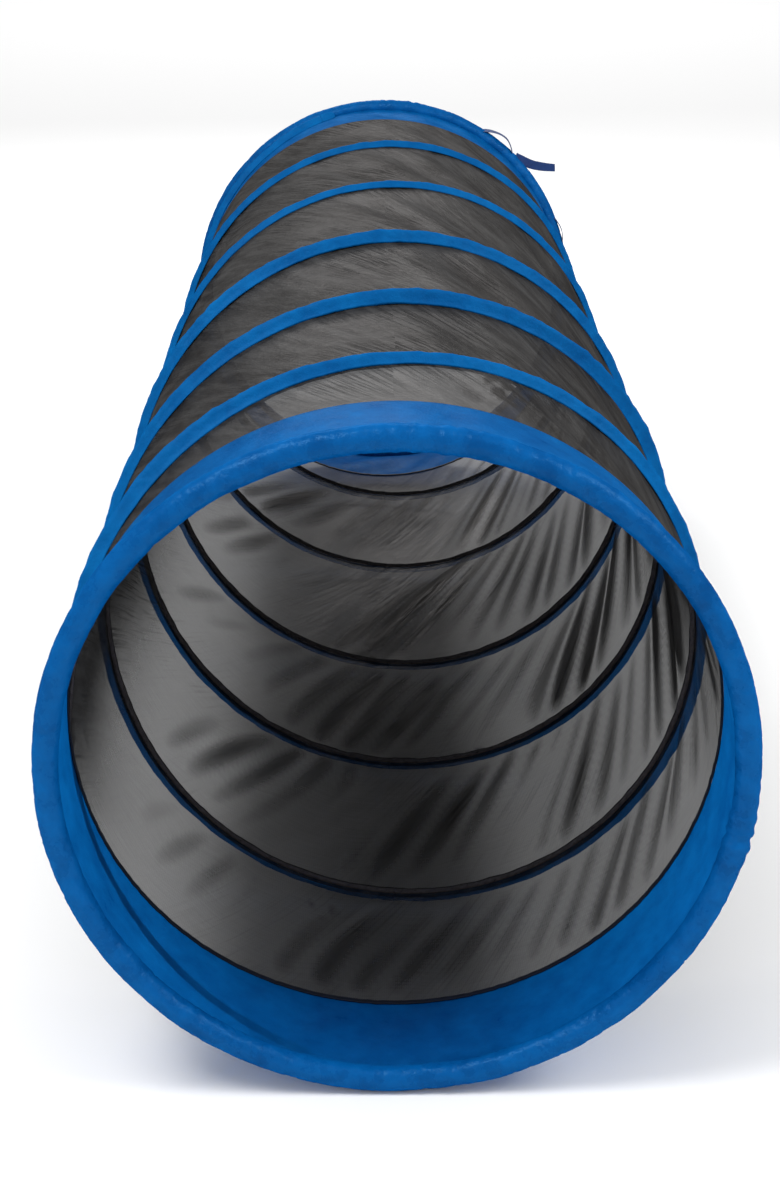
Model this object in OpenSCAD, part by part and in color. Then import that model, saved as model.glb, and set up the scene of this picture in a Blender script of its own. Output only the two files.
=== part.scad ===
// Pop-up agility tunnel: a mesh tube sprung open by one coiled wire, with a wire ring in a
// padded nylon rim and a nylon hem at each mouth. The tunnel lies along Y with its front
// mouth towards -Y and +Z up. The origin is on the floor, under the middle of the tunnel.

/* [Tunnel] */
// Distance between the planes of the two mouth rings
tunnel_length = 1935; // [1500:5:2400]
// Radius of each mouth ring, to the centre of its wire
ring_radius = 300; // [250:5:350]

/* [Mouths] */
// Diameter of the steel wire in a mouth ring
ring_wire_d = 4; // [3:0.5:5]
// Outside diameter of the padded rim
rim_d = 24; // [18:1:30]
// Width of the nylon hem at each mouth, from the ring to the mesh
hem_w = 122; // [90:1:160]
// Length of the crimped tube that closes a ring
ferrule_l = 30; // [20:1:40]

/* [Coil] */
// Diameter of the steel wire in the coil
coil_wire_d = 3; // [2:0.5:4]
// Outside diameter of the fabric casing round the coil
casing_d = 10; // [8:0.5:14]

/* [Fabric] */
// Thickness that stands for the mesh and the nylon
cloth_t = 1; // [0.6:0.1:1.5]
// Width of the tape over each seam between hem and mesh
tape_w = 8; // [6:1:12]
// Width of the tie ribbons
ribbon_w = 16; // [12:1:20]
// Thickness of the tie ribbons
ribbon_t = 1.2; // [0.8:0.1:1.6]

/* [Hidden] */

rim_r = rim_d / 2;
axis_z = ring_radius + rim_r;            // height of the tunnel's axis above the floor
front_y = -tunnel_length / 2;            // plane of the front ring
sections = 6;                            // lengths of the tube, one turn of the coil each
// How far behind the front ring the coil is at each half turn, for a length of 1935. The
// coil starts at the bottom of the ring, and the cloth spaces its turns a little unevenly.
half_turn_marks = [0, 255, 340, 500, 665, 820, 975, 1190, 1355, 1535, 1705, 1935];
coil_start = 180;                        // degrees clockwise from the top
mark_scale = tunnel_length / 1935;
gap = 0.4;                               // clearance between neighbouring sections
casing_r = casing_d / 2;
casing_bore_r = coil_wire_d / 2 + 0.6;
rings_per_turn = 36;                     // stations along one turn of the coil
ring_sag = 1 - cos(180 / rings_per_turn);
mesh_r = ring_radius - 2;                // outside radius of the mesh tube
// the coil lies on the mesh, so its flat steps may not cut into it
coil_r = (mesh_r + casing_r + 0.1) / (1 - ring_sag);
hem_start = rim_r - 2;                   // the hem starts inside the rim's stitching
clear_angle = 18;                        // turn after which the coil clears a rim
coil_first_a = coil_start + clear_angle;
coil_last_a = coil_start + 180 * (len(half_turn_marks) - 1) - clear_angle;
gap_angle = 0.1;                         // clearance between neighbouring turns, in degrees
ferrule_angle = ferrule_l / ring_radius * 180 / PI;
ferrule_r = ring_wire_d / 2 + 1.4;
cap_l = 16;                              // length of the sewn caps on the coil's ends
foot_sink = 4;                           // how far a tie is sewn into the rim

nylon_blue = [0.05, 0.33, 0.60];
casing_blue = [0.04, 0.30, 0.56];
mesh_black = [0.22, 0.21, 0.21];
navy = [0.05, 0.12, 0.33];
steel = [0.72, 0.73, 0.75];

// Mark number i, carried on evenly past both ends of the list
function mark(i) =
    let (last = len(half_turn_marks) - 1)
    mark_scale * (
        i < 0 ? half_turn_marks[0] - 170 :
        i > last ? half_turn_marks[last] + 170 : half_turn_marks[i]
    );

// How far behind the front ring the coil is at angle a: a smooth curve through the marks
function coil_y(a) =
    let (
        h = (a - coil_start) / 180,
        i = floor(h),
        t = h - i,
        rise_a = (mark(i + 1) - mark(i - 1)) / 2,
        rise_b = (mark(i + 2) - mark(i)) / 2
    )
    mark(i) * (2 * t ^ 3 - 3 * t ^ 2 + 1) + rise_a * (t ^ 3 - 2 * t ^ 2 + t)
        + mark(i + 1) * (3 * t ^ 2 - 2 * t ^ 3) + rise_b * (t ^ 3 - t ^ 2);

// Direction from the axis, at an angle clockwise from the top as seen from the front
function outward(a) = [sin(a), 0, cos(a)];

// Point of the coil's centre line at angle a
function coil_point(a) = coil_r * outward(a) + [0, coil_y(a), 0];

// Direction across the wire that is at right angles to outward()
function across(a) =
    let (side = cross(coil_point(a + 1) - coil_point(a - 1), outward(a)))
    side / norm(side);

// One ring of points round the coil's centre line
function wire_ring(a, r, sides) = [
    for (i = [0:sides - 1])
        let (t = 360 * i / sides)
        coil_point(a) + r * (cos(t) * outward(a) + sin(t) * across(a))
];

// The angles at which a length of coil has its rings
function stations(a0, a1) =
    let (n = ceil((a1 - a0) / 360 * rings_per_turn))
    [for (i = [0:n]) a0 + (a1 - a0) * i / n];

// Triangles between ring k and ring k + 1 of one wall, whose first point is number base
function wall_faces(rings, sides, base, flip) = [
    for (k = [0:rings - 2], i = [0:sides - 1])
        let (
            j = (i + 1) % sides,
            a = base + k * sides + i,
            b = base + k * sides + j,
            c = a + sides,
            d = b + sides
        )
        each flip ? [[a, b, c], [b, d, c]] : [[a, c, b], [b, c, d]]
];

// Triangles between an outer and an inner ring of the same number of points
function cap_faces(outer, inner, sides, flip) = [
    for (i = [0:sides - 1])
        let (j = (i + 1) % sides)
        each flip
            ? [[outer + i, inner + i, outer + j], [outer + j, inner + i, inner + j]]
            : [[outer + i, outer + j, inner + i], [outer + j, inner + j, inner + i]]
];

// Puts a shape drawn about the tunnel's axis, with y from the front ring, in its place
module in_tunnel() {
    translate([0, front_y, axis_z]) children();
}

// Turns a profile of [radius, distance behind the front ring] about the tunnel's axis
module about_axis(angle = 360, start = 0) {
    in_tunnel() rotate([-90, 0, 0]) rotate([0, 0, start - 90])
        rotate_extrude(angle = angle, $fn = 144) children();
}

// Solid round rod along the coil
module coil_rod(a0, a1, r, sides) {
    angles = stations(a0, a1);
    n = len(angles);
    points = [for (a = angles) each wire_ring(a, r, sides)];
    ends = [
        [for (i = [0:sides - 1]) i],
        [for (i = [0:sides - 1]) n * sides - 1 - i]
    ];
    in_tunnel() polyhedron(points, concat(wall_faces(n, sides, 0, false), ends));
}

// Tube along the coil
module coil_tube(a0, a1, r, bore, sides) {
    angles = stations(a0, a1);
    n = len(angles);
    outer = [for (a = angles) each wire_ring(a, r, sides)];
    inner = [for (a = angles) each wire_ring(a, bore, sides)];
    base = n * sides;
    last = (n - 1) * sides;
    faces = concat(
        wall_faces(n, sides, 0, false),
        wall_faces(n, sides, base, true),
        cap_faces(0, base, sides, false),
        cap_faces(last, base + last, sides, true)
    );
    in_tunnel() polyhedron(concat(outer, inner), faces);
}

// First and last distance of section k, counted from 1 at the front: one turn of the coil
function section_start(k) = mark(2 * k - 2) + gap / 2;
function section_end(k) = k == sections ? tunnel_length : mark(2 * k) - gap / 2;

// First and last angle of the coil in section k
function turn_start(k) = k == 1 ? coil_first_a : coil_start + 360 * (k - 1) + gap_angle;
function turn_end(k) = k == sections ? coil_last_a : coil_start + 360 * k - gap_angle;

// A thin cylinder of cloth about the axis
module cloth_tube(y0, y1, r_out, t) {
    about_axis() translate([r_out - t, y0]) square([t, y1 - y0]);
}

module ring_wire(y) {
    color(steel) about_axis() translate([ring_radius, y]) circle(d = ring_wire_d, $fn = 24);
}

module ring_ferrule(y) {
    color(steel) about_axis(ferrule_angle, 180 - ferrule_angle / 2)
        translate([ring_radius, y]) difference() {
            circle(r = ferrule_r, $fn = 24);
            circle(d = ring_wire_d, $fn = 24);
        }
}

module rim_sleeve(y) {
    color(nylon_blue) about_axis() translate([ring_radius, y]) difference() {
        circle(r = rim_r, $fn = 48);
        circle(r = ferrule_r, $fn = 24);
    }
}

module coil_wire(k) {
    color(steel) coil_rod(turn_start(k), turn_end(k), coil_wire_d / 2, 6);
}

module coil_casing(k) {
    color(casing_blue) coil_tube(turn_start(k), turn_end(k), casing_r, casing_bore_r, 6);
}

module mesh_bay(k) {
    color(mesh_black) cloth_tube(
        max(section_start(k), hem_w),
        min(section_end(k), tunnel_length - hem_w),
        mesh_r, cloth_t
    );
}

// Sewn cap over an end of the coil, by the rim
module coil_end_cap(a) {
    rise = (coil_y(a + 1) - coil_y(a - 1)) / 2;
    slope = atan(rise / (coil_r * PI / 180));
    color(navy) in_tunnel() translate(coil_point(a)) rotate([0, a, 0])
        rotate([0, 0, slope]) rotate([0, 90, 0]) difference() {
            cylinder(d = casing_d + 2, h = cap_l, center = true, $fn = 32);
            cylinder(d = casing_d, h = cap_l + 1, center = true, $fn = 32);
        }
}

// Ribbon sewn down at both feet and bowed up between them
module ribbon_arch(chord, rise) {
    r = (chord ^ 2 / 4 + rise ^ 2) / (2 * rise);
    translate([0, ribbon_w / 2, rise - r]) rotate([90, 0, 0])
        linear_extrude(ribbon_w) intersection() {
            difference() {
                circle(r = r, $fn = 96);
                circle(r = r - ribbon_t, $fn = 96);
            }
            translate([-chord, r - rise - foot_sink])
                square([2 * chord, rise + foot_sink]);
        }
}

// Flat ribbon with one sewn end and a square-cut free end
module ribbon_strip(length) {
    translate([-ribbon_w / 2, -ribbon_t / 2, -foot_sink])
        cube([ribbon_w, ribbon_t, length + foot_sink]);
}

// Places a tie on the outside of the rear rim, leaning over by lean degrees
module on_rear_rim(angle, lean = 0) {
    in_tunnel() translate([0, tunnel_length, 0]) rotate([0, angle, 0])
        translate([0, 0, ring_radius + rim_r]) rotate([0, lean, 0]) children();
}

module front_ring_wire() { ring_wire(0); }
module front_ring_ferrule() { ring_ferrule(0); }
module front_rim_sleeve() { rim_sleeve(0); }
module front_hem_band() { color(nylon_blue) cloth_tube(hem_start, hem_w, mesh_r, cloth_t); }
module front_seam_tape() {
    color(navy) cloth_tube(hem_w - tape_w / 2, hem_w + tape_w / 2,
        mesh_r - cloth_t, cloth_t);
}
module coil_end_cap_front() { coil_end_cap(coil_first_a + 2); }
module coil_end_cap_rear() { coil_end_cap(coil_last_a - 2); }
module rear_seam_tape() {
    color(navy) cloth_tube(tunnel_length - hem_w - tape_w / 2,
        tunnel_length - hem_w + tape_w / 2, mesh_r - cloth_t, cloth_t);
}
module rear_hem_band() {
    color(nylon_blue) cloth_tube(tunnel_length - hem_w, tunnel_length - hem_start,
        mesh_r, cloth_t);
}
module rear_rim_sleeve() { rim_sleeve(tunnel_length); }
module rear_ring_ferrule() { ring_ferrule(tunnel_length); }
module rear_ring_wire() { ring_wire(tunnel_length); }

module tie_loop_top() { color(navy) on_rear_rim(38) ribbon_arch(62, 12); }
module tie_end_top() { color(navy) on_rear_rim(45, 66) ribbon_strip(68); }
module tie_tab_left() { color(navy) on_rear_rim(-95) ribbon_arch(42, 7); }
module tie_strap_right() { color(navy) on_rear_rim(72) ribbon_arch(50, 5); }

front_ring_wire();
front_ring_ferrule();
front_rim_sleeve();
front_hem_band();
front_seam_tape();
coil_end_cap_front();
coil_wire(1);  // coil_wire_1
coil_wire(2);  // coil_wire_2
coil_wire(3);  // coil_wire_3
coil_wire(4);  // coil_wire_4
coil_wire(5);  // coil_wire_5
coil_wire(6);  // coil_wire_6
coil_casing(1);  // coil_casing_1
coil_casing(2);  // coil_casing_2
coil_casing(3);  // coil_casing_3
coil_casing(4);  // coil_casing_4
coil_casing(5);  // coil_casing_5
coil_casing(6);  // coil_casing_6
mesh_bay(1);  // mesh_bay_1
mesh_bay(2);  // mesh_bay_2
mesh_bay(3);  // mesh_bay_3
mesh_bay(4);  // mesh_bay_4
mesh_bay(5);  // mesh_bay_5
mesh_bay(6);  // mesh_bay_6
coil_end_cap_rear();
rear_seam_tape();
rear_hem_band();
rear_rim_sleeve();
rear_ring_ferrule();
rear_ring_wire();
tie_loop_top();
tie_end_top();
tie_tab_left();
tie_strap_right();
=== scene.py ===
"""Looks of the pop-up agility tunnel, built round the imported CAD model, in metres."""
import math

import bmesh
import bpy
import numpy as np
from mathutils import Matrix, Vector, noise


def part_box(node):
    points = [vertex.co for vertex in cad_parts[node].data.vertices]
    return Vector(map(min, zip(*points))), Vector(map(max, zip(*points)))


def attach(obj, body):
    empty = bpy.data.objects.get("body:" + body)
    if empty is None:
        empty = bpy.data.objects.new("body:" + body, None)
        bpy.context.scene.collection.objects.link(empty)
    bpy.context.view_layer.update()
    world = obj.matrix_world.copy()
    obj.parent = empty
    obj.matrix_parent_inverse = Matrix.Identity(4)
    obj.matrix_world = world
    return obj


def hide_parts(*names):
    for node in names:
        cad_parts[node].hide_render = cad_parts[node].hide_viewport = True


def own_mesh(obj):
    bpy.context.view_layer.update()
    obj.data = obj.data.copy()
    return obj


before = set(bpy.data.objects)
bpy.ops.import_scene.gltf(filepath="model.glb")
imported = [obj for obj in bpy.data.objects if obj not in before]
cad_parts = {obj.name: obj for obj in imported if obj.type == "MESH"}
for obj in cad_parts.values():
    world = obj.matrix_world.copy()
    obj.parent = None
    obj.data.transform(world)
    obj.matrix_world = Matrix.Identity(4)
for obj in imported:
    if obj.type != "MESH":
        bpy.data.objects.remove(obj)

scene = bpy.context.scene
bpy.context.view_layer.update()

# ---------------------------------------------------------------------------
# Driving sizes, from the frame
# ---------------------------------------------------------------------------
rim_low, rim_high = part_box("front_rim_sleeve")
rear_low, rear_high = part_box("rear_rim_sleeve")
RIM_R = (rim_high.y - rim_low.y) / 2
RING_R = (rim_high.x - rim_low.x) / 2 - RIM_R
AXIS_Z = (rim_high.z + rim_low.z) / 2
FRONT_Y = (rim_high.y + rim_low.y) / 2
LENGTH = (rear_high.y + rear_low.y) / 2 - FRONT_Y
HEM_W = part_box("front_hem_band")[1].y - FRONT_Y
CAD_CLOTH_HALF = 0.0005
MESH_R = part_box("mesh_bay_3")[1].x - CAD_CLOTH_HALF
BAYS = 6

# The coil's distance behind the front ring at each half turn, as in the CAD model
HALF_TURN_MARKS = [0, 0.255, 0.340, 0.500, 0.665, 0.820, 0.975, 1.190, 1.355, 1.535, 1.705, 1.935]
RISE_PAST_ENDS = 0.17
COIL_START = math.pi
COIL_END = COIL_START + math.pi * (len(HALF_TURN_MARKS) - 1)
CLEAR_ANGLE = math.radians(18)

BODIES = ["front_end", "section_two", "section_three", "section_four", "section_five", "rear_end"]
STATIONS = [HALF_TURN_MARKS[2 * k] for k in range(BAYS)] + [LENGTH]


def mark(i):
    """Half-turn mark i, carried on evenly past both ends."""
    last = len(HALF_TURN_MARKS) - 1
    if i < 0:
        return HALF_TURN_MARKS[0] - RISE_PAST_ENDS
    return HALF_TURN_MARKS[i] if i <= last else HALF_TURN_MARKS[last] + RISE_PAST_ENDS


def coil_y(a):
    """How far behind the front ring the coil is at angle a, clockwise from the top."""
    h = (a - COIL_START) / math.pi
    i = math.floor(h)
    t = h - i
    rise_a = (mark(i + 1) - mark(i - 1)) / 2
    rise_b = (mark(i + 2) - mark(i)) / 2
    return (mark(i) * (2 * t**3 - 3 * t**2 + 1) + rise_a * (t**3 - 2 * t**2 + t)
            + mark(i + 1) * (3 * t**2 - 2 * t**3) + rise_b * (t**3 - t**2))


def outward(a):
    """The direction out from the axis at angle a."""
    return Vector((math.sin(a), 0, math.cos(a)))


def at_axis(y):
    """The point of the tunnel's axis at a distance y behind the front ring."""
    return Vector((0, FRONT_Y + y, AXIS_Z))


def fold(piece, k):
    """The piece rides on section k, with a mesh of its own."""
    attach(piece, BODIES[k])
    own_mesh(piece)


# ---------------------------------------------------------------------------
# Mesh helpers
# ---------------------------------------------------------------------------
def new_object(name, verts, faces, material, uvs=None, normals=None, values=None):
    """A smooth mesh object. uvs has one pair for each corner of each face, and values has
    named numbers for each point."""
    mesh = bpy.data.meshes.new(name)
    mesh.from_pydata([tuple(v) for v in verts], [], [tuple(int(i) for i in f) for f in faces])
    mesh.polygons.foreach_set("use_smooth", [True] * len(mesh.polygons))
    if uvs is not None:
        layer = mesh.uv_layers.new(name="cloth")
        layer.data.foreach_set("uv", np.asarray(uvs, np.float32).ravel())
    if normals is not None:
        mesh.normals_split_custom_set_from_vertices([tuple(n) for n in normals])
    for key, value in (values or {}).items():
        layer = mesh.attributes.new(key, "FLOAT", "POINT")
        layer.data.foreach_set("value", np.asarray(value, np.float32).ravel())
    mesh.materials.append(material)
    obj = bpy.data.objects.new(name, mesh)
    scene.collection.objects.link(obj)
    return obj


def grid_faces(rows, cols, closed=False):
    """Quads of a grid of rows x cols points, and for each corner its (row, col) place. The
    columns go round, and so do the rows of a closed grid."""
    faces, places = [], []
    for r in range(rows if closed else rows - 1):
        for c in range(cols):
            r2, c2 = (r + 1) % rows, (c + 1) % cols
            faces.append((r * cols + c, r * cols + c2, r2 * cols + c2, r2 * cols + c))
            places += [(r, c), (r, c + 1), (r + 1, c + 1), (r + 1, c)]
    return faces, np.array(places, float)


def grid_normals(points):
    """Unit normals of a grid of points whose columns go round, by central differences."""
    along = np.roll(points, -1, 1) - np.roll(points, 1, 1)
    across = np.gradient(points, axis=0)
    n = np.cross(along, across)
    return n / np.maximum(np.linalg.norm(n, axis=2, keepdims=True), 1e-12)


def noise_at(points, scale, seed):
    """Smooth noise from -1 to 1 at each point."""
    flat = np.asarray(points, float).reshape(-1, 3) * scale + seed * 7.31
    return np.array([noise.noise(p) for p in flat]).reshape(np.shape(points)[:-1])


# ---------------------------------------------------------------------------
# Materials
# ---------------------------------------------------------------------------
class Nodes:
    """Short calls for building a node tree."""

    def __init__(self, name):
        self.material = bpy.data.materials.new(name)
        self.material.use_nodes = True
        self.tree = self.material.node_tree
        self.shader = self.tree.nodes["Principled BSDF"]

    def add(self, kind, **values):
        node = self.tree.nodes.new(kind)
        for key, value in values.items():
            setattr(node, key, value)
        return node

    def link(self, a, b):
        self.tree.links.new(a, b)

    def cloth_point(self, scale=(1, 1, 1), slant=0.0):
        """The cloth's own flat coordinates, in metres, turned by slant, times a scale."""
        uv = self.add("ShaderNodeUVMap", uv_map="cloth")
        turned = self.add("ShaderNodeMapping")
        turned.inputs["Rotation"].default_value = (0, 0, slant)
        mapping = self.add("ShaderNodeMapping")
        mapping.inputs["Scale"].default_value = scale
        self.link(uv.outputs["UV"], turned.inputs["Vector"])
        self.link(turned.outputs["Vector"], mapping.inputs["Vector"])
        return mapping.outputs["Vector"]

    def space_point(self):
        """The point's place in the piece, in metres."""
        return self.add("ShaderNodeTexCoord").outputs["Object"]

    def noise(self, vector, scale, detail=3.0, rough=0.55):
        node = self.add("ShaderNodeTexNoise")
        node.inputs["Scale"].default_value = scale
        node.inputs["Detail"].default_value = detail
        node.inputs["Roughness"].default_value = rough
        self.link(vector, node.inputs["Vector"])
        return node.outputs["Fac"]

    def wave(self, vector, scale, direction):
        node = self.add("ShaderNodeTexWave", bands_direction=direction)
        node.inputs["Scale"].default_value = scale
        self.link(vector, node.inputs["Vector"])
        return node.outputs["Fac"]

    def ramp(self, fac, *stops):
        """stops are (position, colour or grey value)."""
        node = self.add("ShaderNodeValToRGB")
        elements = node.color_ramp.elements
        while len(elements) < len(stops):
            elements.new(0.5)
        for element, (position, value) in zip(elements, stops):
            element.position = position
            if not hasattr(value, "__len__"):
                value = (value, value, value)
            element.color = (*value[:3], 1)
        self.link(fac, node.inputs["Fac"])
        return node.outputs["Color"]

    def math(self, operation, a, b):
        node = self.add("ShaderNodeMath", operation=operation)
        for socket, value in zip(node.inputs, (a, b)):
            if isinstance(value, (int, float)):
                socket.default_value = value
            else:
                self.link(value, socket)
        return node.outputs["Value"]

    def mix(self, fac, a, b):
        """fac is a share or a socket, and a and b are colours or sockets."""
        node = self.add("ShaderNodeMix", data_type="RGBA")
        sockets = {s.name: s for s in node.inputs if s.enabled}
        for name, value in (("Factor", fac), ("A", a), ("B", b)):
            if isinstance(value, (int, float)):
                sockets[name].default_value = value
            elif isinstance(value, tuple):
                sockets[name].default_value = (*value, 1)
            else:
                self.link(value, sockets[name])
        return [s for s in node.outputs if s.enabled][0]

    def bump(self, height, strength, distance, below=None):
        node = self.add("ShaderNodeBump")
        node.inputs["Strength"].default_value = strength
        node.inputs["Distance"].default_value = distance
        self.link(height, node.inputs["Height"])
        if below is not None:
            self.link(below, node.inputs["Normal"])
        return node.outputs["Normal"]

    def over(self, share, top):
        """Mixes a shader over what the surface has so far."""
        surface = self.tree.nodes["Material Output"].inputs["Surface"]
        below = surface.links[0].from_socket
        both = self.add("ShaderNodeMixShader")
        both.inputs["Fac"].default_value = share
        self.link(below, both.inputs[1])
        self.link(top, both.inputs[2])
        self.link(both.outputs["Shader"], surface)

    def satin(self, share, colour, rough, normal):
        """Adds a thin even gloss, which doesn't turn pale at the surface's edges."""
        gloss = self.add("ShaderNodeBsdfGlossy")
        gloss.inputs["Color"].default_value = (*colour, 1)
        self.link(rough, gloss.inputs["Roughness"])
        self.link(normal, gloss.inputs["Normal"])
        self.over(share, gloss.outputs["BSDF"])
        return self.material

    def set(self, **values):
        """Sets or links the main shader's inputs, and gives the material."""
        for key, value in values.items():
            socket = self.shader.inputs[key.replace("_", " ")]
            if hasattr(value, "is_linked"):
                self.link(value, socket)
            else:
                socket.default_value = value
        return self.material


MESH_THREADS = 150.0
NYLON_THREADS = 260.0
RIBBON_RIBS = 420.0
HAIR_SLANT = math.radians(-27)

# The share of the light that the mesh stops where it is open, what streaks, threads, creases,
# folds and closer knit add to it, and the most that it comes to
OPEN_STOPS = 0.725
STREAKS_STOP = 0.08
THREADS_STOP = 0.03
HAIRS_STOP = 0.04
FOLDS_STOP = 0.21
CLOSE_STOPS = 0.22
MOST_STOPPED = 0.994


def mesh_material():
    """Sheer black knitted mesh: brownish black and satin, with fine streaks along the weft,
    wispy streaks of painted sheen and hair creases aslant, painted shade along the hair creases
    and in the folds, and less light through where it is gathered."""
    n = Nodes("sheer_black_mesh")
    streaks = n.noise(n.cloth_point((18, 420, 1)), 1.0, 4.0, 0.6)
    warp = n.noise(n.cloth_point((380, 26, 1)), 1.0, 3.0, 0.6)
    hairs_and_shade = n.noise(n.cloth_point((330, 7, 1), HAIR_SLANT), 1.0, 3.0, 0.6)
    hairs_and_shade = n.ramp(hairs_and_shade, (0.52, 0.0), (0.64, 1.0))
    where = n.ramp(n.noise(n.space_point(), 5.0, 2.0), (0.44, 0.0), (0.60, 1.0))
    hairs_and_shade = n.math("MULTIPLY", hairs_and_shade, where)
    patches = n.noise(n.space_point(), 9.0, 3.0)
    threads = n.math("MULTIPLY", n.wave(n.cloth_point(), MESH_THREADS, "X"),
                     n.wave(n.cloth_point(), MESH_THREADS, "Y"))
    gathers = n.add("ShaderNodeAttribute", attribute_name="gathers").outputs["Fac"]
    close = n.add("ShaderNodeAttribute", attribute_name="close").outputs["Fac"]
    base = n.ramp(streaks, (0.3, (0.012, 0.0105, 0.010)), (0.7, (0.026, 0.0235, 0.023)))
    base = n.mix(0.35, base, n.ramp(patches, (0.35, 0.010), (0.65, 0.030)))
    base = n.mix(0.25, base, n.ramp(warp, (0.4, 0.010), (0.6, 0.030)))
    # Painted sheen: bright wispy streaks in the base colour stand in for the satin's highlights.
    sheen_wisps = n.noise(n.cloth_point((52, 8, 1), HAIR_SLANT), 1.0, 4.0, 0.65)
    base = n.mix(0.45, base, n.ramp(sheen_wisps, (0.40, 0.006), (0.62, 0.052)))
    # Painted shade: the base colour is darkened along the hair creases, which also stop more
    # light.
    base = n.mix(n.math("MULTIPLY", hairs_and_shade, 0.55), base, (0.004, 0.0035, 0.0035))
    # Painted shade: the base colour is darkened where the cloth folds, by the fold depth.
    base = n.mix(n.math("MULTIPLY", gathers, 0.5), base, (0.006, 0.005, 0.005))
    alpha = OPEN_STOPS
    for part, share in ((streaks, STREAKS_STOP), (threads, THREADS_STOP), (hairs_and_shade, HAIRS_STOP),
                        (gathers, FOLDS_STOP), (close, CLOSE_STOPS)):
        alpha = n.math("ADD", n.math("MULTIPLY", part, share), alpha)
    alpha = n.math("MINIMUM", alpha, MOST_STOPPED)
    fine = n.bump(streaks, 0.4, 0.0008, n.bump(sheen_wisps, 0.6, 0.004, n.bump(hairs_and_shade, 0.8, 0.002)))
    normal = n.bump(n.noise(n.space_point(), 60.0, 4.0), 0.35, 0.003, fine)
    rough = n.ramp(streaks, (0.3, 0.30), (0.7, 0.46))
    n.set(Base_Color=base, Alpha=alpha, Roughness=rough, Normal=normal,
          Specular_IOR_Level=0.0)
    return n.satin(0.026, (1, 0.96, 0.94), rough, normal)


PALE_SHEEN = (0.55, 0.78, 1.0)
BLUE_SHEEN = (0.22, 0.60, 1.0)


def nylon_material(name, dark, light, through, gloss, sheen, roughness, wrinkle=0.5):
    """Coated blue nylon: a plain weave under a satin finish, with small creases. Its colour goes
    from dark to light in broad uneven patches, and with the creases: painted shade in their
    hollows and painted light on their ridges. through is how much of the light on its far
    side shows, gloss the share of the satin and sheen its colour."""
    n = Nodes(name)
    space = n.space_point()
    creases = n.noise(space, 38.0, 5.0, 0.6)
    broad = n.noise(space, 7.0, 2.0)
    weave = n.math("ADD", n.wave(n.cloth_point(), NYLON_THREADS, "X"),
                   n.wave(n.cloth_point(), NYLON_THREADS, "Y"))
    # Painted shade and light: the crease noise, also the bump's height, darkens the hollows and
    # lightens the ridges.
    base = n.mix(0.6, n.ramp(broad, (0.3, dark), (0.7, light)),
                 n.ramp(creases, (0.3, dark), (0.7, light)))
    normal = n.bump(creases, wrinkle, 0.004, n.bump(weave, 0.12, 0.0004))
    rough = n.ramp(creases, (0.3, roughness - 0.07), (0.7, roughness + 0.09))
    n.set(Base_Color=base, Roughness=rough, Normal=normal, Specular_IOR_Level=0.0)
    if through:
        glow = n.add("ShaderNodeBsdfTranslucent")
        n.link(base, glow.inputs["Color"])
        n.link(normal, glow.inputs["Normal"])
        n.over(through, glow.outputs["BSDF"])
    return n.satin(gloss, sheen, rough, normal)


def ribbon_material(name, dark, light):
    """Woven ribbon: fine cross ribs, a little worn."""
    n = Nodes(name)
    ribs = n.wave(n.cloth_point(), RIBBON_RIBS, "X")
    wear = n.noise(n.space_point(), 90.0, 4.0)
    base = n.mix(0.5, n.ramp(ribs, (0.2, dark), (0.8, light)),
                 n.ramp(wear, (0.3, dark), (0.7, light)))
    return n.set(Base_Color=base, Roughness=0.62, Normal=n.bump(ribs, 0.4, 0.0006),
                 Specular_IOR_Level=0.25)


def flap_material():
    """The mesh's spare cloth in the seam: doubled, so nearly opaque, with a stitched edge."""
    n = Nodes("doubled_black_mesh")
    v = n.add("ShaderNodeSeparateXYZ")
    n.link(n.cloth_point(), v.inputs["Vector"])
    edge = n.ramp(v.outputs["Y"], (0.36, 0.0), (0.40, 1.0), (0.60, 1.0), (0.64, 0.0))
    streaks = n.noise(n.cloth_point((160, 6, 1)), 1.0, 3.0)
    cloth = n.ramp(streaks, (0.3, (0.030, 0.027, 0.030)), (0.7, (0.070, 0.063, 0.068)))
    base = n.mix(edge, cloth, (0.003, 0.003, 0.004))
    alpha = n.math("ADD", n.math("MULTIPLY", edge, 0.09), 0.90)
    return n.set(Base_Color=base, Alpha=alpha, Roughness=0.6, Specular_IOR_Level=0.1,
                 Normal=n.bump(streaks, 0.4, 0.001))


def steel_material():
    """Drawn spring steel wire with fine lines along it."""
    n = Nodes("spring_steel_wire")
    lines = n.noise(n.space_point(), 400.0, 2.0)
    base = n.ramp(lines, (0.3, (0.42, 0.43, 0.45)), (0.7, (0.66, 0.67, 0.69)))
    return n.set(Base_Color=base, Metallic=1.0, Roughness=0.32, Normal=n.bump(lines, 0.1, 0.0003))


MESH = mesh_material()
RIM_BLUE = nylon_material("rim_blue_nylon", (0.0003, 0.044, 0.18), (0.001, 0.106, 0.36),
                          0, 0.022, BLUE_SHEEN, 0.28, 0.9)
HEM_BLUE = nylon_material("hem_blue_nylon", (0.0006, 0.075, 0.28), (0.002, 0.15, 0.47),
                          0.5, 0.018, PALE_SHEEN, 0.34)
CASING_BLUE = nylon_material("casing_blue_nylon", (0.0006, 0.060, 0.22), (0.002, 0.125, 0.38),
                             0, 0.012, BLUE_SHEEN, 0.42, 0.7)
RIBBON = ribbon_material("navy_ribbon", (0.002, 0.018, 0.09), (0.006, 0.04, 0.17))
TAPE = ribbon_material("dark_binding_tape", (0.002, 0.003, 0.008), (0.004, 0.008, 0.022))
FLAP = flap_material()
STEEL = steel_material()


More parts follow.
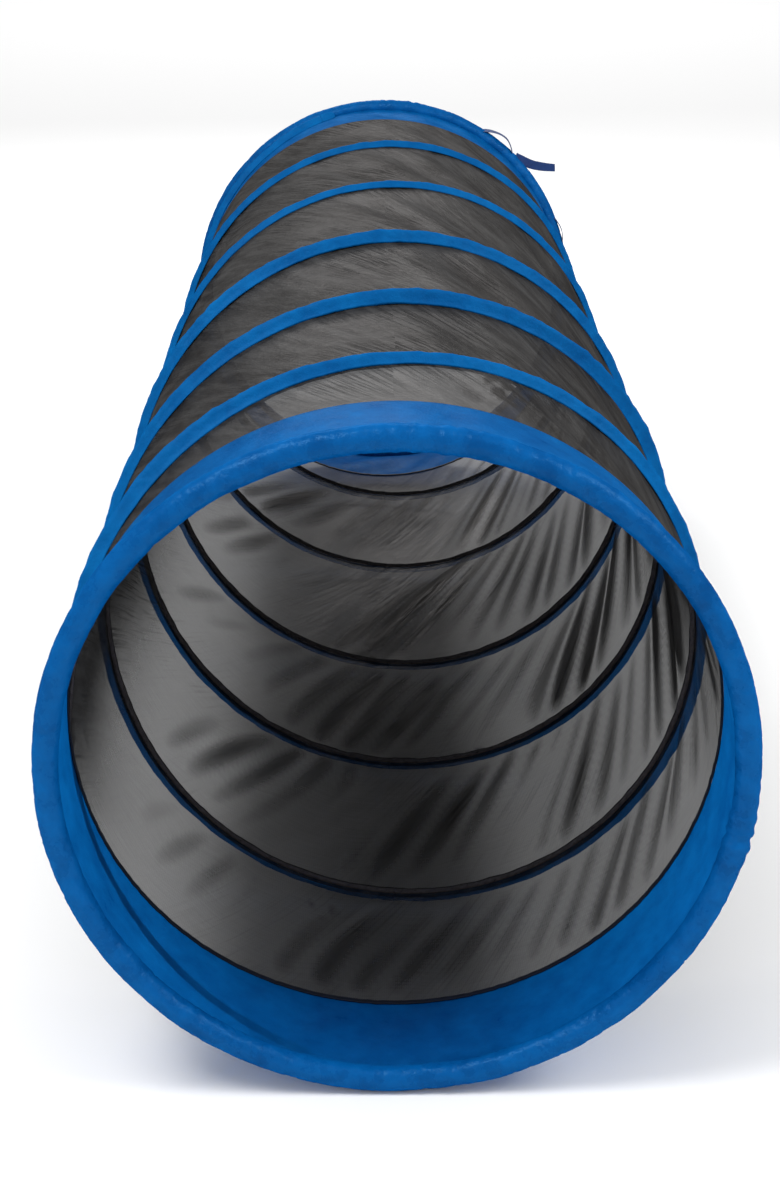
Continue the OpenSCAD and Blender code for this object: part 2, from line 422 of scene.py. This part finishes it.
# ---------------------------------------------------------------------------
# The cloth tube: both hems and the mesh are one surface, draped as one
# ---------------------------------------------------------------------------
COLUMNS = 176
ROW_STEP = 0.0115
HEM_OVERLAP = 0.002
CLOTH_INSET = 0.0002
PINNED_ROWS = 0.55
START_ROUGH = 0.0004
START_ROUGH_SCALE = 25
CALMING_PASSES = 4

# How far the settled cloth may stand out from the tube and sag in, and how far from the
# coil's line it starts to come free and then is free
MOST_OUT = 0.004
MOST_IN = 0.020
HELD_HALF = 0.008
FREES_OVER = 0.02

# How much the cloth's slope and its bend count towards a fold, and what is too shallow to
STEEP_WEIGHT = 11
BEND_WEIGHT = 1000
SHALLOW = 0.85

# Where the knit is close: how far down the sides it ends, how softly it ends behind the
# first turn, and its share in the first bay
CLOSE_TURN = 0.10
CLOSE_BELOW = 0.50
CLOSE_FADE = 0.62
CLOSE_EDGE = 0.006
FIRST_BAY_CLOSE = 0.70

# How the cloth is cut beside the tube it hangs on. It is loose round the tube, most at the
# lower right, and twisted, so that it folds aslant from turn to turn.
TAUT_ALONG = 0.992
LOOSE_ROUND = 0.018
LOOSER_RIGHT = 0.028
TWIST = 0.055
TWIST_RIGHT = 0.034
SLANT_CENTRE = math.radians(115)
UNEVEN = 0.0075
UNEVEN_SCALE = 1.6
DRAPE_FRAMES = 30
HANGING_FRAMES = 8
DRAPE_GRAVITY = 0.12


def row_distances():
    """Distances behind the front ring of the cloth's rows, with one on every seam."""
    ends = [RIM_R - HEM_OVERLAP, HEM_W, *STATIONS[1:-1], LENGTH - HEM_W,
            LENGTH - RIM_R + HEM_OVERLAP]
    rows = [ends[0]]
    for a, b in zip(ends, ends[1:]):
        n = max(2, round((b - a) / ROW_STEP))
        rows += [a + (b - a) * i / n for i in range(1, n + 1)]
    return np.array(rows)


def coil_offsets(rows, angles):
    """How far each point of the tube is from the nearest turn of the coil, along the axis."""
    nearest = np.full((len(rows), len(angles)), np.inf)
    for c, a in enumerate(angles):
        turn = a if a >= COIL_START else a + 2 * math.pi
        while turn < COIL_END:
            offset = rows - coil_y(turn)
            closer = np.abs(offset) < np.abs(nearest[:, c])
            nearest[closer, c] = offset[closer]
            turn += 2 * math.pi
    return nearest


def cloth_tube():
    """The rows' distances, and the draped tube's points as an array of rows x columns x 3."""
    rows = row_distances()
    angles = np.arange(COLUMNS) * 2 * math.pi / COLUMNS
    y, a = np.meshgrid(rows, angles, indexing="ij")
    radius = np.full_like(y, MESH_R - CLOTH_INSET)
    points = np.stack([radius * np.sin(a), FRONT_Y + y, AXIS_Z + radius * np.cos(a)], -1)
    offset = coil_offsets(rows, angles)
    pinned = np.abs(offset) < ROW_STEP * PINNED_ROWS
    for seam in (rows[0], HEM_W, LENGTH - HEM_W, rows[-1]):
        pinned |= np.abs(y - seam) < 1e-6
    points = drape(points, rows, angles, pinned)
    points = calmed(points, pinned)
    return rows, keep_near(points, offset)


def calmed(points, pinned):
    """Takes out roughness as fine as the grid, and leaves the folds."""
    for _ in range(CALMING_PASSES):
        around = (np.roll(points, 1, 1) + 2 * points + np.roll(points, -1, 1)) / 4
        along = around.copy()
        along[1:-1] = (around[:-2] + 2 * around[1:-1] + around[2:]) / 4
        points = np.where(pinned[..., None], points, along)
    return points


def keep_near(points, offset):
    """Holds the cloth near the tube, above the floor and under the coil's casing."""
    x, z = points[..., 0], points[..., 2] - AXIS_Z
    r = np.hypot(x, z)
    free = np.clip((np.abs(offset) - HELD_HALF) / FREES_OVER, 0, 1)
    limited = np.clip(r, MESH_R - MOST_IN, MESH_R + MOST_OUT * free)
    held = points.copy()
    held[..., 0] *= limited / r
    held[..., 2] = AXIS_Z + z * limited / r
    return held


def loose_shape(rows, angles):
    """The cloth's own shape before it is pulled onto the rings and the coil."""
    loose = LOOSE_ROUND * angles + LOOSER_RIGHT * (np.sin(angles - SLANT_CENTRE)
                                                   + math.sin(SLANT_CENTRE))
    around = angles + loose
    radius = MESH_R * (1 + LOOSE_ROUND)
    middle = rows.mean()
    y = (rows[:, None] - middle) * TAUT_ALONG
    turn = (around[None, :] + y * TWIST / MESH_R) / (1 + LOOSE_ROUND)
    y = y + TWIST_RIGHT * MESH_R * np.sin(angles - SLANT_CENTRE)[None, :]
    flat = np.stack([np.sin(angles)[None, :] + 0 * y, np.cos(angles)[None, :] + 0 * y,
                     rows[:, None] / MESH_R + 0 * y], -1)
    y = y + UNEVEN * noise_at(flat, UNEVEN_SCALE, 1)
    turn = turn + UNEVEN * noise_at(flat, UNEVEN_SCALE, 2) / radius
    return np.stack([radius * np.sin(turn), FRONT_Y + middle + y,
                     AXIS_Z + radius * np.cos(turn)], -1)


def drape(points, rows, angles, pinned):
    """Lets slightly loose, twisted cloth settle between the coil's turns."""
    n_rows, n_cols = points.shape[:2]
    rough = START_ROUGH * noise_at(points, START_ROUGH_SCALE, 3)[..., None] * ~pinned[..., None]
    hung = points + rough * np.stack([np.sin(angles), 0 * angles, np.cos(angles)], -1)[None]
    faces, _ = grid_faces(n_rows, n_cols)
    obj = new_object("drape", loose_shape(rows, angles).reshape(-1, 3), faces, MESH)
    obj.shape_key_add(name="Basis")
    key = obj.shape_key_add(name="hung")
    key.data.foreach_set("co", hung.astype(np.float32).ravel())
    key.value = 0
    key.keyframe_insert("value", frame=1)
    key.value = 1
    key.keyframe_insert("value", frame=HANGING_FRAMES)
    group = obj.vertex_groups.new(name="sewn")
    group.add([int(i) for i in np.flatnonzero(pinned.ravel())], 1.0, "REPLACE")
    cloth = obj.modifiers.new("cloth", "CLOTH")
    s = cloth.settings
    s.quality = 6
    s.mass = 0.08
    s.tension_stiffness = 18
    s.compression_stiffness = 18
    s.shear_stiffness = 8
    s.bending_stiffness = 50
    s.tension_damping = s.compression_damping = s.shear_damping = 10
    s.air_damping = 2
    s.effector_weights.gravity = DRAPE_GRAVITY
    s.vertex_group_mass = "sewn"
    cloth.collision_settings.use_collision = False
    cloth.collision_settings.use_self_collision = False
    cloth.point_cache.frame_start = 1
    cloth.point_cache.frame_end = DRAPE_FRAMES
    for f in range(1, DRAPE_FRAMES + 1):
        scene.frame_set(f)
    shown = obj.evaluated_get(bpy.context.evaluated_depsgraph_get())
    settled = np.zeros(n_rows * n_cols * 3, np.float32)
    shown.data.vertices.foreach_get("co", settled)
    scene.frame_set(1)
    bpy.data.objects.remove(obj)
    return settled.reshape(points.shape).astype(float)


def finer(points):
    """Twice as many rows and columns, by cubic interpolation. Columns go round."""
    a, b, c, d = (np.roll(points, s, 1) for s in (1, 0, -1, -2))
    cols = np.empty((points.shape[0], points.shape[1] * 2, 3))
    cols[:, 0::2], cols[:, 1::2] = points, (-a + 9 * b + 9 * c - d) / 16
    padded = np.concatenate([2 * cols[:1] - cols[1:2], cols, 2 * cols[-1:] - cols[-2:-1]])
    middle = (-padded[:-3] + 9 * padded[1:-2] + 9 * padded[2:-1] - padded[3:]) / 16
    out = np.empty((cols.shape[0] * 2 - 1, cols.shape[1], 3))
    out[0::2], out[1::2] = cols, middle
    return out


def finer_rows(rows):
    """The distances of the finer grid's rows."""
    out = np.empty(len(rows) * 2 - 1)
    out[0::2], out[1::2] = rows, (rows[:-1] + rows[1:]) / 2
    return out


def fold_depth(points, normals):
    """From 0 on smooth cloth to 1 where it turns on edge or doubles into a crease."""
    out = points - np.array([0, 0, AXIS_Z])
    out[..., 1] = 0
    out /= np.linalg.norm(out, axis=2, keepdims=True)
    steep = 1 - np.abs((normals * out).sum(2))
    r = np.hypot(points[..., 0], points[..., 2] - AXIS_Z)
    bend = np.abs(np.roll(r, 2, 1) + np.roll(r, -2, 1) - 2 * r)
    return np.clip(steep * STEEP_WEIGHT + bend * BEND_WEIGHT - SHALLOW, 0, 1)


def closeness(rows, n_cols):
    """1 where the knit is pulled close, along the top behind the first turn, less in front of
    that, and 0 where it is open and sheer."""
    angles = np.arange(n_cols) * 2 * math.pi / n_cols
    edge = np.array([coil_y(a if a > math.pi else a + 2 * math.pi) for a in angles])
    top = np.clip((np.cos(angles + CLOSE_TURN) + CLOSE_BELOW) / CLOSE_FADE, 0, 1)
    behind = np.clip((rows[:, None] - edge[None, :]) / CLOSE_EDGE + 0.5, 0, 1)
    share = FIRST_BAY_CLOSE + (1 - FIRST_BAY_CLOSE) * behind
    return top * top * (3 - 2 * top) * share


def build_tube():
    """Cuts the one draped surface into the hems and the bays of mesh."""
    rows, points = cloth_tube()
    points, rows = finer(points), finer_rows(rows)
    n_cols = points.shape[1]
    normals = grid_normals(points)
    # The fold depth stops more light in the mesh, and also darkens its base colour in the folds
    # as painted shade.
    gathers = fold_depth(points, normals)
    close = closeness(rows, n_cols)
    seams = [rows[0], HEM_W, *STATIONS[1:-1], LENGTH - HEM_W, rows[-1]]
    at = [int(np.argmin(np.abs(rows - s))) for s in seams]
    names = ["front_hem", *[f"cloth_bay_{k + 1}" for k in range(BAYS)], "rear_hem"]
    sections = [0, *range(BAYS), BAYS - 1]
    for name, k, r0, r1 in zip(names, sections, at, at[1:]):
        part, part_normals = points[r0:r1 + 1], normals[r0:r1 + 1]
        faces, places = grid_faces(r1 - r0 + 1, n_cols)
        uvs = np.stack([places[:, 1] * 2 * math.pi * MESH_R / n_cols,
                        rows[r0] + places[:, 0] * (rows[r1] - rows[r0]) / (r1 - r0)], -1)
        hem = name.endswith("hem")
        piece = new_object(name, part.reshape(-1, 3), faces, HEM_BLUE if hem else MESH, uvs,
                           part_normals.reshape(-1, 3),
                           {"gathers": gathers[r0:r1 + 1], "close": close[r0:r1 + 1]})
        fold(piece, k)
        node = name + "_band" if hem else f"mesh_bay_{k + 1}"
        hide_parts(node)


build_tube()


# ---------------------------------------------------------------------------
# Rims
# ---------------------------------------------------------------------------
RIM_COLUMNS = 900
RIM_SIDES = 28
RIM_JOINTS = (5.0, 101.0)
RIM_INSET = 0.0004
SWELL = 0.0009
CREASE = 0.0013
CREASES_ROUND = 17
FINE_CREASE = 0.0003
FINE_CREASES_ROUND = 55

# Beside each join, in metres, and in degrees round the ring: how far the sleeve is drawn in
# and how widely, the puff next to that, and the ripples
PINCH, PINCH_WIDE = 0.0016, 0.7
PUFF, PUFF_WIDE = 0.0005, 4
RIPPLE, RIPPLE_WIDE, RIPPLE_RATE = 0.0007, 6, 2.4


def rim_pinch(a):
    """How far the sleeve is drawn in at angle a, beside the places where its ends are joined."""
    pinch = 0.0
    for joint in RIM_JOINTS:
        off = math.degrees((a - math.radians(joint) + math.pi) % (2 * math.pi) - math.pi)
        pinch += PINCH * math.exp(-(off / PINCH_WIDE) ** 2)
        pinch -= PUFF * math.exp(-(off / PUFF_WIDE) ** 2)
        ripple = RIPPLE * math.exp(-(off / RIPPLE_WIDE) ** 2)
        pinch += ripple * math.sin(off * RIPPLE_RATE + joint)
    return pinch


def rim_relief(a, t, seed):
    """How far the sleeve's surface is from an even tube, at angle a round the ring and angle
    t round the sleeve."""
    place = Vector((3 * math.sin(a), 3 * math.cos(a), 0))
    swell = SWELL * noise.noise(place * 2.2 + Vector((seed, 0.9 * math.cos(t), 0)))
    turn = a + 0.012 * math.sin(t + seed)
    round_ring = Vector((math.sin(turn), math.cos(turn), 0))
    line = noise.noise(round_ring * CREASES_ROUND + Vector((0, 0, 0.9 * math.sin(t) + seed)))
    depth = 0.4 + noise.noise(place * 2.9 + Vector((0, seed, math.sin(t))))
    crease = CREASE * max(0.0, 1 - abs(line) * 7) * max(0.0, depth)
    fine = FINE_CREASE * noise.noise(round_ring * FINE_CREASES_ROUND
                                     + Vector((0, 0, 2 * math.cos(t) + seed)))
    return swell - crease + fine


def rim(name, y, seed):
    """A padded nylon sleeve round the ring: softly uneven, creased where the cloth is taken
    up round the bend, and pinched where its ends are joined."""
    points = np.zeros((RIM_COLUMNS, RIM_SIDES, 3))
    for i in range(RIM_COLUMNS):
        a = 2 * math.pi * i / RIM_COLUMNS
        pinch = rim_pinch(a)
        for j in range(RIM_SIDES):
            t = 2 * math.pi * j / RIM_SIDES
            r = RIM_R - RIM_INSET + rim_relief(a, t, seed) - pinch
            points[i, j] = (at_axis(y) + outward(a) * (RING_R + r * math.cos(t))
                            + Vector((0, r * math.sin(t), 0)))
    faces, places = grid_faces(RIM_COLUMNS, RIM_SIDES, True)
    uvs = np.stack([places[:, 0] * 2 * math.pi * RING_R / RIM_COLUMNS,
                    places[:, 1] * 2 * math.pi * RIM_R / RIM_SIDES], -1)
    return new_object(name, points.reshape(-1, 3), [f[::-1] for f in faces], RIM_BLUE,
                      uvs.reshape(-1, 4, 2)[:, ::-1].reshape(-1, 2))


for end, y, body in (("front", 0.0, "front_end"), ("rear", LENGTH, "rear_end")):
    piece = rim(f"{end}_rim", y, 3.0 if end == "front" else 11.0)
    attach(piece, body)
    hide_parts(f"{end}_rim_sleeve")


# ---------------------------------------------------------------------------
# Coil
# ---------------------------------------------------------------------------
CASING_STEP = math.radians(1.0)
CASING_HALF = 0.0082
CASING_LOW = 0.0052
CASING_TALL = 0.0075
CASING_POINTS = 12
CASING_FOOT = 0.0022
CASING_UNDER = 0.0012
CASING_PUCKER = 0.0009
WIDER_SIDES = 0.12
NARROWER_BELOW = 0.14
CREST_HALF = 0.0042
CREST_WANDER = 0.0022
CREST_PUCKER = 0.0006
EDGE_TUCK = 0.0026
EDGE_PUCKER = 0.0007
WIRE_R = 0.0015
WIRE_SIDES = 8
WIRE_OVER_MESH = 0.0029
FLAP_TALL = 0.0048
FLAP_PUCKER = 0.0010
FLAP_LEAN = 0.0018
FLAP_LEAN_PUCKER = 0.0016
FLAP_BEHIND = 0.0015
FLAP_INSET = 0.0006
FLAP_HALF = 0.0004
FLAP_BEAD = 0.0003
FLAP_LEAST = 0.08
FLAP_RUN_OUT = 0.03
FLAP_STEPS = 5
FLAP_CLEAR_FRONT = 0.004
FLAP_CLEAR_REAR = 0.010

# The share of its full height to which the casing stands up, by turns from the top of the
# front ring
STANDING = [(0.55, 0.0), (0.75, 0.35), (0.88, 0.9), (1.0, 0.30), (1.3, 0.5), (1.45, 0.0),
            (1.55, 0.0), (1.75, 0.15), (2.0, 0.95), (2.15, 1.0), (2.3, 0.3), (2.45, 0.0),
            (2.55, 0.0), (2.75, 0.15), (2.9, 0.7), (3.0, 0.8), (3.25, 0.2), (3.45, 0.0),
            (3.55, 0.0), (3.75, 0.1), (4.0, 0.0),
            (4.3, 0.1), (4.45, 0.0), (4.55, 0.0), (4.8, 0.15), (5.0, 0.1), (5.3, 0.1),
            (5.45, 0.0), (5.55, 0.0), (5.8, 0.3), (6.0, 0.3)]


def coil_frame(a, radius=MESH_R):
    """Centre, outward direction and rearward direction of the coil's line at angle a."""
    centre = at_axis(coil_y(a)) + outward(a) * radius
    ahead = at_axis(coil_y(a + 0.01)) + outward(a + 0.01) * radius
    along = (ahead - centre).normalized()
    rearward = outward(a).cross(along).normalized()
    return centre, outward(a), rearward


def turn_angles(k):
    """The angles of the stations along section k's turn of the coil."""
    first = COIL_START + (CLEAR_ANGLE if k == 0 else 2 * math.pi * k)
    last = COIL_END - CLEAR_ANGLE if k == BAYS - 1 else COIL_START + 2 * math.pi * (k + 1)
    n = round((last - first) / CASING_STEP)
    return [first + (last - first) * i / n for i in range(n + 1)]


def pucker(a, kind):
    """The casing's gathers: a repeatable roughness along the coil, from -1 to 1."""
    return noise.noise(Vector((a * 17, kind * 5.3, 0.4))) + 0.5 * noise.noise(
        Vector((a * 45, kind * 3.1, 7.7)))


def casing_ring(a):
    """One ring of the casing: a sewn strip that stands up over the wire by turns."""
    centre, out, rear = coil_frame(a)
    standing = np.interp(a / (2 * math.pi), *zip(*STANDING))
    height = CASING_LOW + CASING_TALL * standing + CASING_PUCKER * pucker(a, 1)
    crest = CREST_WANDER * noise.noise(Vector((a * 1.7, 0, 3.3))) + CREST_PUCKER * pucker(a, 2)
    half = (CASING_HALF * (1 + WIDER_SIDES * (1 - math.cos(2 * a)))
            * (1 - NARROWER_BELOW * (1 - math.cos(a))))
    front = -half - EDGE_PUCKER * pucker(a, 3)
    back = half + EDGE_PUCKER * pucker(a, 4)
    ring = []
    for i in range(CASING_POINTS + 1):
        s = front + (back - front) * i / CASING_POINTS
        rise = math.exp(-abs((s - crest) / CREST_HALF) ** 2.4)
        dent = 1 + 0.10 * noise.noise(Vector((a * 30, s * 300, 1.1)))
        tuck = EDGE_TUCK * (abs(2 * i / CASING_POINTS - 1)) ** 4
        ring.append(centre + rear * s + out * (CASING_FOOT - tuck + height * rise * dent))
    for i in range(1, 4):
        s = back + (front - back) * i / 4
        ring.append(centre + rear * s + out * CASING_UNDER)
    return ring


def flap_ring(a):
    """One ring of the seam's spare cloth: a fin that stands into the tunnel."""
    centre, out, rear = coil_frame(a)
    y = coil_y(a)
    run_out = min(1.0, (y - HEM_W) / FLAP_RUN_OUT, (LENGTH - HEM_W - y) / FLAP_RUN_OUT)
    tall = (FLAP_TALL + FLAP_PUCKER * pucker(a, 5)) * max(FLAP_LEAST, run_out)
    lean = FLAP_LEAN + FLAP_LEAN_PUCKER * pucker(a, 6)
    near, far = [], []
    for i in range(FLAP_STEPS + 1):
        u = i / FLAP_STEPS
        place = centre + rear * (FLAP_BEHIND + lean * u * u) - out * (FLAP_INSET + tall * u)
        half = FLAP_HALF + FLAP_BEAD * (i == FLAP_STEPS)
        near.append(place - rear * half)
        far.append(place + rear * half)
    return near + far[::-1]


def wire_ring(a):
    """One ring of the coil's wire, inside the casing."""
    centre, out, rear = coil_frame(a, MESH_R + WIRE_OVER_MESH)
    return [centre + out * (WIRE_R * math.cos(t)) + rear * (WIRE_R * math.sin(t))
            for t in (2 * math.pi * i / WIRE_SIDES for i in range(WIRE_SIDES))]


def swept(name, rings, material, length, closed=False):
    """A tube through rings of points. Its ends meet or are capped."""
    points = np.array([[tuple(p) for p in ring] for ring in rings])
    rows, cols = points.shape[:2]
    faces, places = grid_faces(rows, cols, closed)
    uvs = [(r * length / rows, c / cols) for r, c in places]
    if not closed:
        faces += [tuple(range(cols)), tuple(range(rows * cols - 1, (rows - 1) * cols - 1, -1))]
        uvs += [(0, 0)] * (2 * cols)
    obj = new_object(name, points.reshape(-1, 3), faces, material, uvs)
    bm = bmesh.new()
    bm.from_mesh(obj.data)
    bmesh.ops.recalc_face_normals(bm, faces=bm.faces)
    bm.to_mesh(obj.data)
    bm.free()
    return obj


def on_mesh(a):
    """Whether the coil at angle a lies on the mesh, clear of the hems."""
    return HEM_W + FLAP_CLEAR_FRONT < coil_y(a) < LENGTH - HEM_W - FLAP_CLEAR_REAR


for k in range(BAYS):
    angles = turn_angles(k)
    length = (angles[-1] - angles[0]) * MESH_R
    casing = swept(f"casing_turn_{k + 1}", [casing_ring(a) for a in angles], CASING_BLUE, length)
    flap = swept(f"seam_flap_{k + 1}", [flap_ring(a) for a in angles if on_mesh(a)], FLAP,
                 length)
    wire = swept(f"wire_turn_{k + 1}", [wire_ring(a) for a in angles], STEEL, length)
    for piece, node, finish in ((casing, "coil_casing", "coil_casing"),
                                (flap, "coil_casing", "mesh"),
                                (wire, "coil_wire", "spring_steel")):
        fold(piece, k)
        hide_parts(f"{node}_{k + 1}")


# A cap's turn, and the share of it that laps over the casing. The other part lies past the
# casing's end.
CAP_TURN = math.radians(4.5)
CAP_LAP = 0.4
CAP_STEPS = 14
CAP_TAPER = 6
CAP_SIZE = 1.12
CAP_LEAST = 0.02
CAP_LENGTH = 0.03


def end_cap(name, end, way, node, k):
    """The sewn-down end of the casing at angle end: a folded patch that tapers to nothing.
    way is 1 where it runs on past the rear end and -1 past the front end."""
    first = end - way * CAP_TURN * CAP_LAP
    last = end + way * CAP_TURN * (1 - CAP_LAP)
    rings = []
    for i in range(CAP_STEPS + 1):
        a = first + (last - first) * i / CAP_STEPS
        past = max(0, i - CAP_STEPS + CAP_TAPER) / CAP_TAPER
        size = CAP_SIZE * math.sqrt(max(0.0, 1 - past ** 2)) + CAP_LEAST
        centre, out, rear = coil_frame(a)
        mean = centre + out * CASING_UNDER
        rings.append([mean + (p - mean) * size for p in casing_ring(a)])
    cap = swept(name, rings, CASING_BLUE, CAP_LENGTH)
    fold(cap, k)
    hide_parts(node)


end_cap("cap_front", turn_angles(0)[0], -1, "coil_end_cap_front", 0)
end_cap("cap_rear", turn_angles(BAYS - 1)[-1], 1, "coil_end_cap_rear", BAYS - 1)


# ---------------------------------------------------------------------------
# Seam tapes where the hems meet the mesh
# ---------------------------------------------------------------------------
TAPE_COLUMNS = 540
TAPE_SIDES = 10
TAPE_HALF = 0.0029
TAPE_THIN = 0.0011
TAPE_INSIDE = 0.0016
TAPE_WAVE_IN = 0.0005
TAPE_WAVE_SIDE = 0.0007


def seam_tape(name, y, k, node, seed):
    """A narrow binding tape folded over the seam, gathered as it is sewn."""
    rings = []
    for i in range(TAPE_COLUMNS):
        a = 2 * math.pi * i / TAPE_COLUMNS
        out = outward(a)
        wave_in = TAPE_WAVE_IN * noise.noise(
            Vector((40 * math.sin(a), 40 * math.cos(a), seed)))
        wave_side = TAPE_WAVE_SIDE * noise.noise(
            Vector((26 * math.sin(a), 26 * math.cos(a), seed + 9)))
        ring = []
        for j in range(TAPE_SIDES):
            t = 2 * math.pi * j / TAPE_SIDES
            across = TAPE_HALF * math.copysign(abs(math.cos(t)) ** 0.6, math.cos(t))
            thick = TAPE_THIN * math.copysign(abs(math.sin(t)) ** 0.7, math.sin(t))
            ring.append(at_axis(y + across + wave_side)
                        + out * (MESH_R - TAPE_INSIDE + thick + wave_in))
        rings.append(ring)
    tape = swept(name, rings, TAPE, 2 * math.pi * MESH_R, closed=True)
    fold(tape, k)
    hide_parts(node)


seam_tape("seam_front", HEM_W, 0, "front_seam_tape", 2.0)
seam_tape("seam_rear", LENGTH - HEM_W, BAYS - 1, "rear_seam_tape", 6.0)


# ---------------------------------------------------------------------------
# Ties on the rear rim
# ---------------------------------------------------------------------------
RIBBON_HALF = 0.008
RIBBON_THIN = 0.0006
RIBBON_STEPS = 40
RIBBON_SIDES = 16
RIBBON_WAVER = 0.12
RIBBON_CUP = 0.0010
RIBBON_FRAY = 0.02
SEWN_IN = 0.0045
LOOSE_AT = 45
LOOSE_IN = 0.003
LOOSE_LENGTH = 0.069
LOOSE_LEAN = math.radians(111)
LOOSE_BOW = 0.003
LOOSE_LIFT = 0.007


def ribbon(name, path, twist, node, seed):
    """A soft woven ribbon along a path in the rim's plane, twisting from its width along
    the tunnel. path gives a place, and twist an angle, for u from 0 to 1."""
    rings = []
    for i in range(RIBBON_STEPS + 1):
        u = i / RIBBON_STEPS
        here = path(u)
        along = (path(u + 0.01) - path(u - 0.01)).normalized()
        face = along.cross(Vector((0, 1, 0))).normalized()
        turn = twist(u) + RIBBON_WAVER * noise.noise(Vector((u * 3, seed, 0)))
        wide = Vector((0, 1, 0)) * math.cos(turn) + face * math.sin(turn)
        flat = along.cross(wide)
        cup = RIBBON_CUP * noise.noise(Vector((u * 4, seed, 5)))
        ring = []
        for j in range(RIBBON_SIDES):
            t = 2 * math.pi * j / RIBBON_SIDES
            c = math.copysign(abs(math.cos(t)) ** 0.7, math.cos(t))
            edge = RIBBON_HALF * (1 + RIBBON_FRAY * noise.noise(Vector((u * 25, c, seed))))
            ring.append(here + wide * (edge * c)
                        + flat * (RIBBON_THIN * math.sin(t) + cup * c * c))
        rings.append(ring)
    places = [path(i / RIBBON_STEPS) for i in range(RIBBON_STEPS + 1)]
    length = sum((b - a).length for a, b in zip(places, places[1:]))
    piece = swept(name, rings, RIBBON, length)
    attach(piece, "rear_end")
    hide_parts(node)


def on_rim(degrees, along, up):
    """A place beside the rear rim's outer edge: along is clockwise and up is outwards."""
    a = math.radians(degrees)
    return (at_axis(LENGTH) + outward(a) * (RING_R + RIM_R + up)
            + Vector((math.cos(a), 0, -math.sin(a))) * along)


def arch(degrees, chord, rise, slump):
    """A ribbon sewn down at both ends, bowed outwards and slumped to one side."""
    def path(u):
        bow = max(0.0, math.sin(math.pi * u))
        return on_rim(degrees, chord * (u - 0.5) + slump * bow,
                      rise * bow ** 0.8 - SEWN_IN + 0.002 * bow)
    return path


def loose_end(u):
    """The free ribbon: it leaves the rim to the right, droops, and lifts at its tip."""
    start = on_rim(LOOSE_AT, 0, -LOOSE_IN)
    droop = LOOSE_BOW * math.sin(math.pi * u) - LOOSE_LIFT * u * u
    return (start + outward(LOOSE_LEAN) * (LOOSE_LENGTH * u)
            + outward(LOOSE_LEAN + math.pi / 2) * droop)


ribbon("loop_top", arch(38, 0.062, 0.012, 0.003), lambda u: 0.1, "tie_loop_top", 1.5)
ribbon("end_top", loose_end, lambda u: 1.25 - 0.45 * u, "tie_end_top", 4.5)
ribbon("tab_left", arch(-95, 0.042, 0.008, -0.002), lambda u: 0.25 * math.sin(3 * u),
       "tie_tab_left", 7.5)
ribbon("strap_right", arch(72, 0.050, 0.005, 0.001), lambda u: 0.05, "tie_strap_right", 9.5)


# ---------------------------------------------------------------------------
# CAD nodes that stay get their finishes
# ---------------------------------------------------------------------------
NODE_MATERIALS = {"ring_wire": STEEL, "ring_ferrule": STEEL}
for name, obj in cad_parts.items():
    for part, material in NODE_MATERIALS.items():
        if part in name:
            obj.data.materials.clear()
            obj.data.materials.append(material)


# ---------------------------------------------------------------------------
# Floor, light and camera
# ---------------------------------------------------------------------------
FLOOR_HALF = 14
WORLD_STRENGTH = 0.68
CAMERA_LENS = 64.65
CAMERA_PLACE = (-0.0212, FRONT_Y - 1.662, AXIS_Z + 0.786)
CAMERA_YAW = 0.0089
CAMERA_PITCH = 0.3590


def floor():
    """A wide pale floor, which isn't part of the tunnel."""
    mesh = bpy.data.meshes.new("floor")
    corners = [(-1, -1), (1, -1), (1, 1), (-1, 1)]
    mesh.from_pydata([(x * FLOOR_HALF, y * FLOOR_HALF, 0) for x, y in corners], [],
                     [(0, 1, 2, 3)])
    obj = bpy.data.objects.new("floor", mesh)
    scene.collection.objects.link(obj)
    n = Nodes("pale_floor")
    n.set(Base_Color=(0.96, 0.96, 0.96, 1), Roughness=0.9, Specular_IOR_Level=0.1)
    mesh.materials.append(n.material)


def area_light(name, place, target, size, power):
    """A rectangular light that faces its target."""
    data = bpy.data.lights.new(name, "AREA")
    data.shape = "RECTANGLE"
    data.size, data.size_y = size
    data.energy = power
    obj = bpy.data.objects.new(name, data)
    obj.location = place
    obj.rotation_euler = (Vector(target) - Vector(place)).to_track_quat("-Z", "Y").to_euler()
    scene.collection.objects.link(obj)


def camera():
    """A long lens in front of the tunnel, looking down along it."""
    data = bpy.data.cameras.new("camera")
    data.lens = CAMERA_LENS
    data.sensor_width = 36
    obj = bpy.data.objects.new("camera", data)
    obj.location = CAMERA_PLACE
    look = Vector((math.sin(CAMERA_YAW) * math.cos(CAMERA_PITCH),
                   math.cos(CAMERA_YAW) * math.cos(CAMERA_PITCH), -math.sin(CAMERA_PITCH)))
    obj.rotation_euler = look.to_track_quat("-Z", "Y").to_euler()
    scene.collection.objects.link(obj)
    scene.camera = obj


floor()
area_light("key", place=(-1.5, -1.6, 3.2), target=(0, -0.4, 0.3), size=(1.3, 1.3), power=65)
area_light("fill", place=(2.4, -1.4, 2.4), target=(0, -0.4, 0.3), size=(1.2, 1.2), power=42)
area_light("back", place=(-0.5, 3.6, 2.6), target=(0, 0.2, 0.5), size=(2.0, 1.0), power=50)
area_light("sweep", place=(0, 9.5, 6.0), target=(0, 8.5, 0), size=(7.0, 7.0), power=210)
camera()

world = bpy.data.worlds.new("studio")
world.use_nodes = True
background = world.node_tree.nodes["Background"]
background.inputs["Color"].default_value = (1, 1, 1, 1)
background.inputs["Strength"].default_value = WORLD_STRENGTH
scene.world = world
scene.view_settings.view_transform = "Standard"
